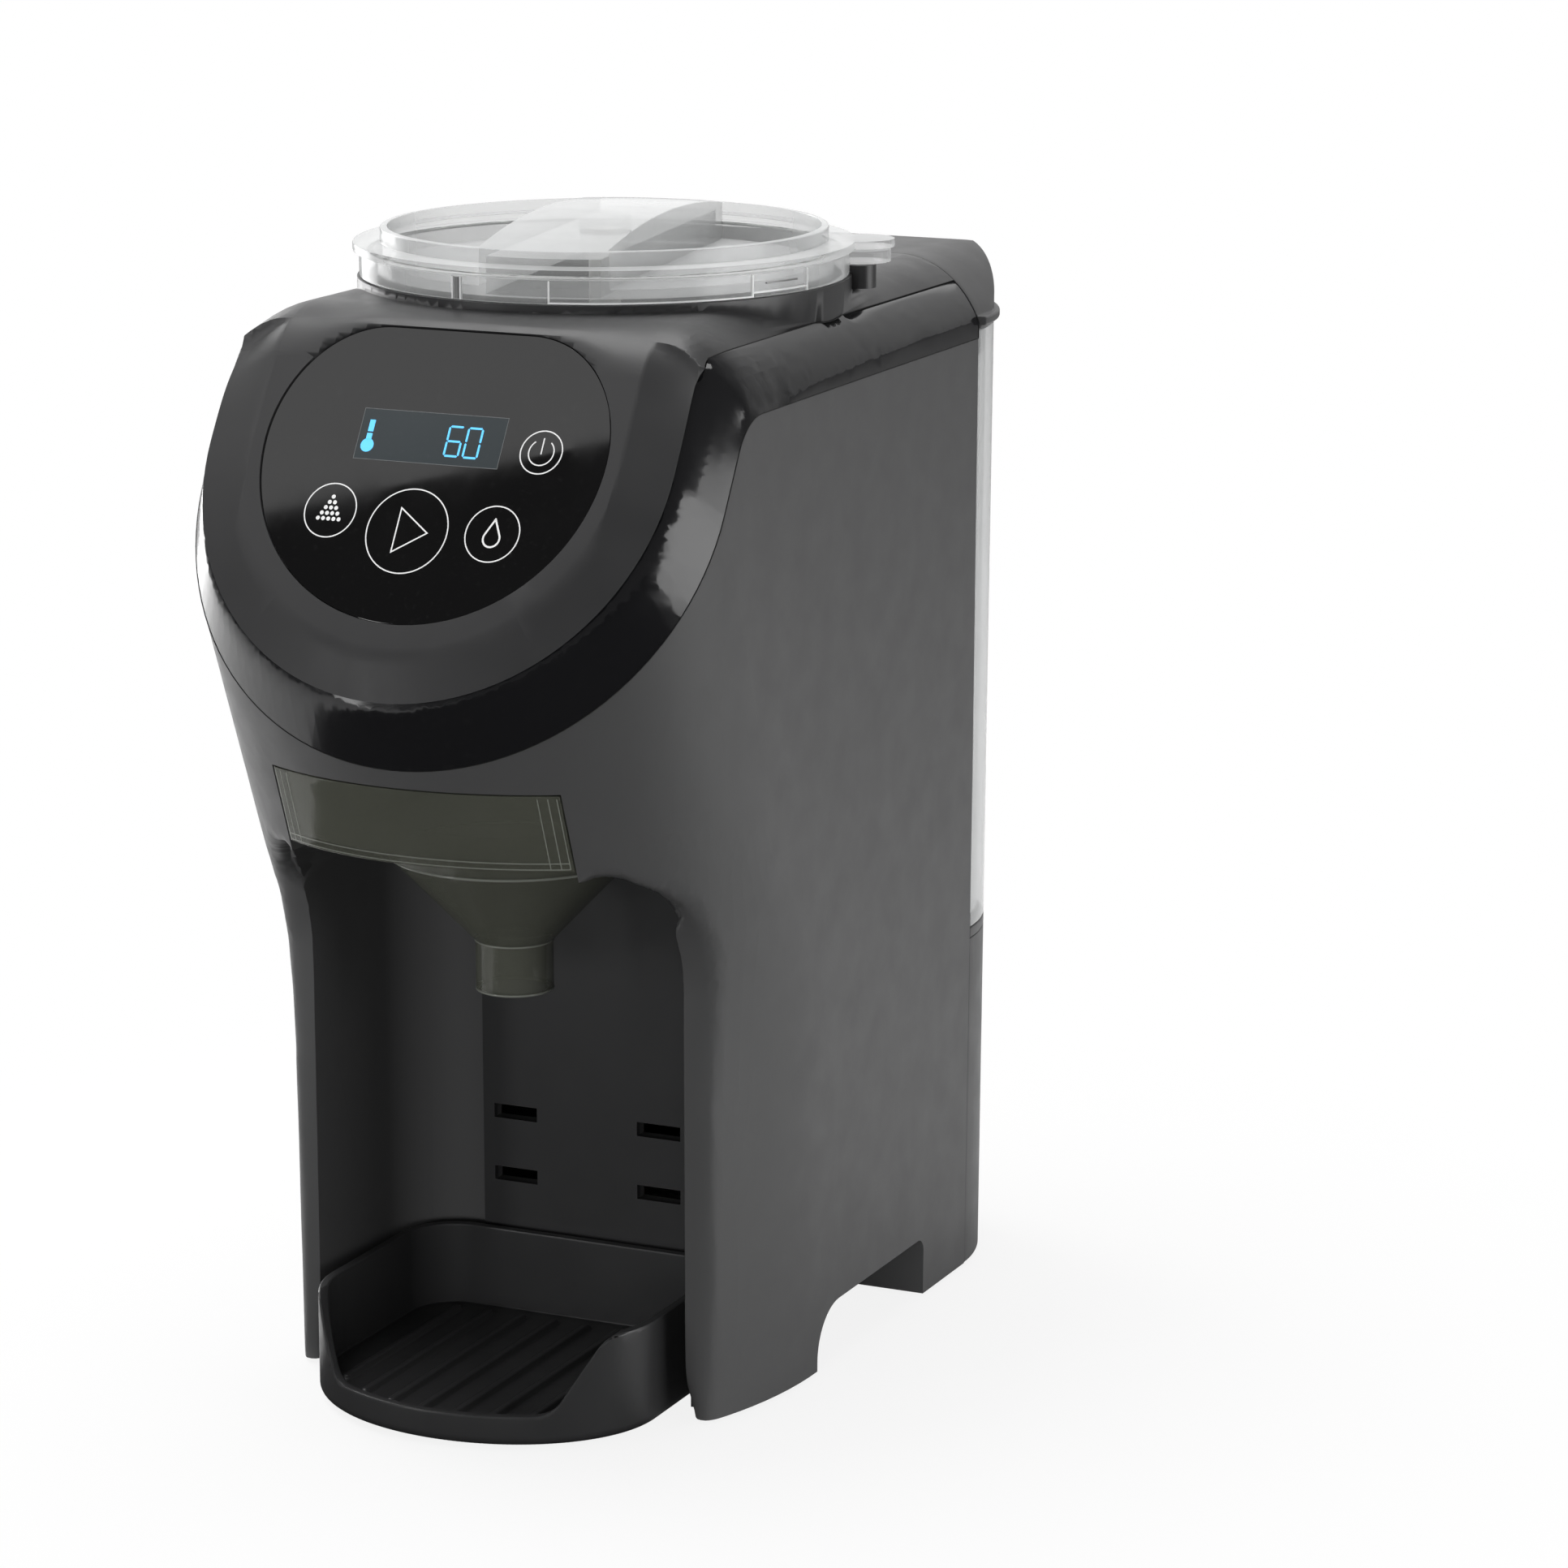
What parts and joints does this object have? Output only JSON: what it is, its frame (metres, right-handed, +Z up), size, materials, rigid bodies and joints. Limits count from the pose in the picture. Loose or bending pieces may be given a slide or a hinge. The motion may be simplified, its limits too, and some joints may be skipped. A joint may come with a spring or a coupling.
{
  "type": "baby formula maker",
  "caption": "Countertop formula maker with touch lens, lift-out powder container, lift-off water tank, mixing funnel and pull-out bottle tray.",
  "frame": {"origin": "middle of the footprint on the surface the machine stands on", "axes": "+Z up, the control face looks towards -Y, +X to the viewer's right"},
  "size_m": [0.1512, 0.276, 0.3125],
  "materials": {
    "shell_plastic": "fine matte",
    "cover_plastic": "fine matte",
    "band_gloss": "high gloss",
    "lens_black": "mirror-smooth gloss",
    "clear_plastic": "clear, slightly frosted",
    "smoke_plastic": "clear smoke tint",
    "tray_plastic": "satin",
    "white_plastic": "natural",
    "inner_grey": "matte",
    "seal_rubber": "soft translucent",
    "black_rubber": "soft matte",
    "hose_silicone": "translucent silicone",
    "steel": "turned",
    "brass": "turned",
    "motor_steel": "zinc plated",
    "heater_alu": "cast",
    "board_green": "solder mask",
    "lcd": "glossy display"
  },
  "bodies": {
    "housing": {"outer_shell": "shell_plastic", "trim_band": "band_gloss", "top_cover": "cover_plastic", "control_lens": "lens_black", "control_board": "board_green", "display_module": "lcd", "powder_well": "inner_grey", "powder_chute": "inner_grey", "gear_plate": "inner_grey", "powder_motor": "motor_steel", "shaft_bush": "brass", "funnel_frame": "inner_grey", "water_nozzle": "white_plastic", "bay_liner": "tray_plastic", "base_plate": "inner_grey", "rubber_feet": "black_rubber", "rear_cover": "shell_plastic", "tank_dock": "shell_plastic", "water_pump": "inner_grey", "water_heater": "heater_alu", "heater_thermostat": "brass", "inlet_hose": "hose_silicone", "pump_hose": "hose_silicone", "outlet_hose": "hose_silicone", "main_board": "board_green", "power_gland": "black_rubber", "base_screws": "steel", "well_screws": "steel", "plate_screws": "steel", "board_screws": "steel", "rear_screws": "steel"},
    "powder_drive": {"output_gear": "white_plastic", "output_shaft": "steel"},
    "motor_rotor": {"drive_pinion": "brass", "motor_shaft": "steel"},
    "powder_bin": {"powder_container": "clear_plastic", "powder_scraper": "white_plastic"},
    "mixer": {"dosing_wheel": "white_plastic", "stirrer": "white_plastic"},
    "bin_seal": {"lid_seal": "seal_rubber"},
    "bin_lid": {"container_lid": "clear_plastic"},
    "funnel": {"funnel_body": "smoke_plastic", "funnel_cover": "smoke_plastic"},
    "tray": {"bottle_tray": "tray_plastic"},
    "tank": {"water_tank": "clear_plastic", "valve_body": "white_plastic", "valve_seal": "black_rubber", "valve_spring": "steel"},
    "poppet": {"valve_poppet": "white_plastic"},
    "tank_cap": {"tank_lid": "shell_plastic"}
  },
  "joints": [
    {"name": "output_gear_spin", "type": "hinge", "parent": "housing", "child": "powder_drive", "pos_m": [0, -0.0085, 0.2065], "axis": [0, 0, 1], "continuous": true},
    {"name": "motor_spin", "type": "hinge", "parent": "housing", "child": "motor_rotor", "pos_m": [0, 0.03025, 0.2065], "axis": [0, 0, 1], "continuous": true},
    {"name": "container_lift", "type": "slide", "parent": "housing", "child": "powder_bin", "axis": [0, 0, 1], "range_m": [0, 0.1]},
    {"name": "mixer_spin", "type": "hinge", "parent": "powder_bin", "child": "mixer", "pos_m": [0, -0.0085, 0.224], "axis": [0, 0, 1], "continuous": true},
    {"name": "lid_lift", "type": "slide", "parent": "powder_bin", "child": "bin_seal", "axis": [0, 0, 1], "range_m": [0, 0.05]},
    {"name": "lid_twist", "type": "hinge", "parent": "bin_seal", "child": "bin_lid", "pos_m": [0, -0.0085, 0.303], "axis": [0, 0, 1], "range_deg": [0, 25]},
    {"name": "funnel_lower", "type": "slide", "parent": "housing", "child": "funnel", "axis": [0, 0, -1], "range_m": [0, 0.055]},
    {"name": "tray_pull", "type": "slide", "parent": "housing", "child": "tray", "axis": [0, -1, 0], "range_m": [0, 0.03]},
    {"name": "tank_lift", "type": "slide", "parent": "housing", "child": "tank", "axis": [0, 0, 1], "range_m": [0, 0.12]},
    {"name": "valve_poppet_rise", "type": "slide", "parent": "tank", "child": "poppet", "axis": [0, 0, 1], "range_m": [0, 0.003], "stiffness_N_per_m": 150, "springref_m": -0.002, "deforming": ["valve_spring"]},
    {"name": "tank_lid_lift", "type": "slide", "parent": "tank", "child": "tank_cap", "axis": [0, 0, 1], "range_m": [0, 0.05]}
  ],
  "couplings": [
    {"joint": "motor_spin", "follows": "output_gear_spin", "ratio": -3.4286},
    {"joint": "mixer_spin", "follows": "output_gear_spin", "ratio": 1}
  ]
}
